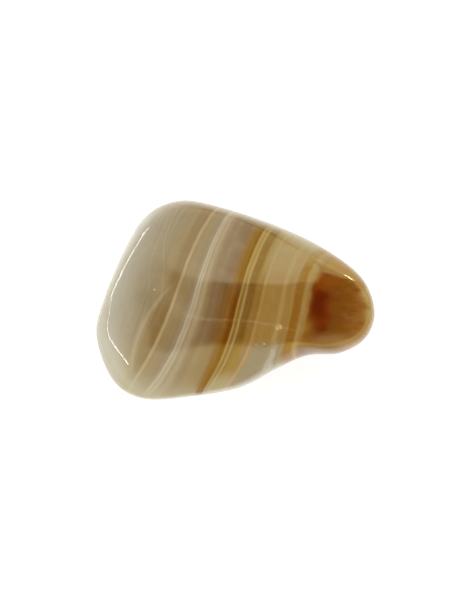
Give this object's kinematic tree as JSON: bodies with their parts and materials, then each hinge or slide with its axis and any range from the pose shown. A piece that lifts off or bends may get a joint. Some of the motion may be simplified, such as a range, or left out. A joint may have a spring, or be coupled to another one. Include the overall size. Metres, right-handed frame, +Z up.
{
  "type": "tumbled agate",
  "caption": "Tumbled pebble of banded agate, a blunt teardrop with soft flats and a shallow waist, lying on a small worn flat.",
  "frame": {"origin": "on the resting plane, under the middle of the stone's box seen from above", "axes": "+X from the broad end towards the narrow tip, +Y across the stone with the waist on the -Y side, +Z up from the resting flat through the crown"},
  "size_m": [0.032, 0.0228, 0.0124],
  "materials": {
    "agate": "polished, translucent, banded grey, honey and brown"
  },
  "bodies": {
    "root": {"tumbled_agate": "agate"}
  },
  "joints": []
}
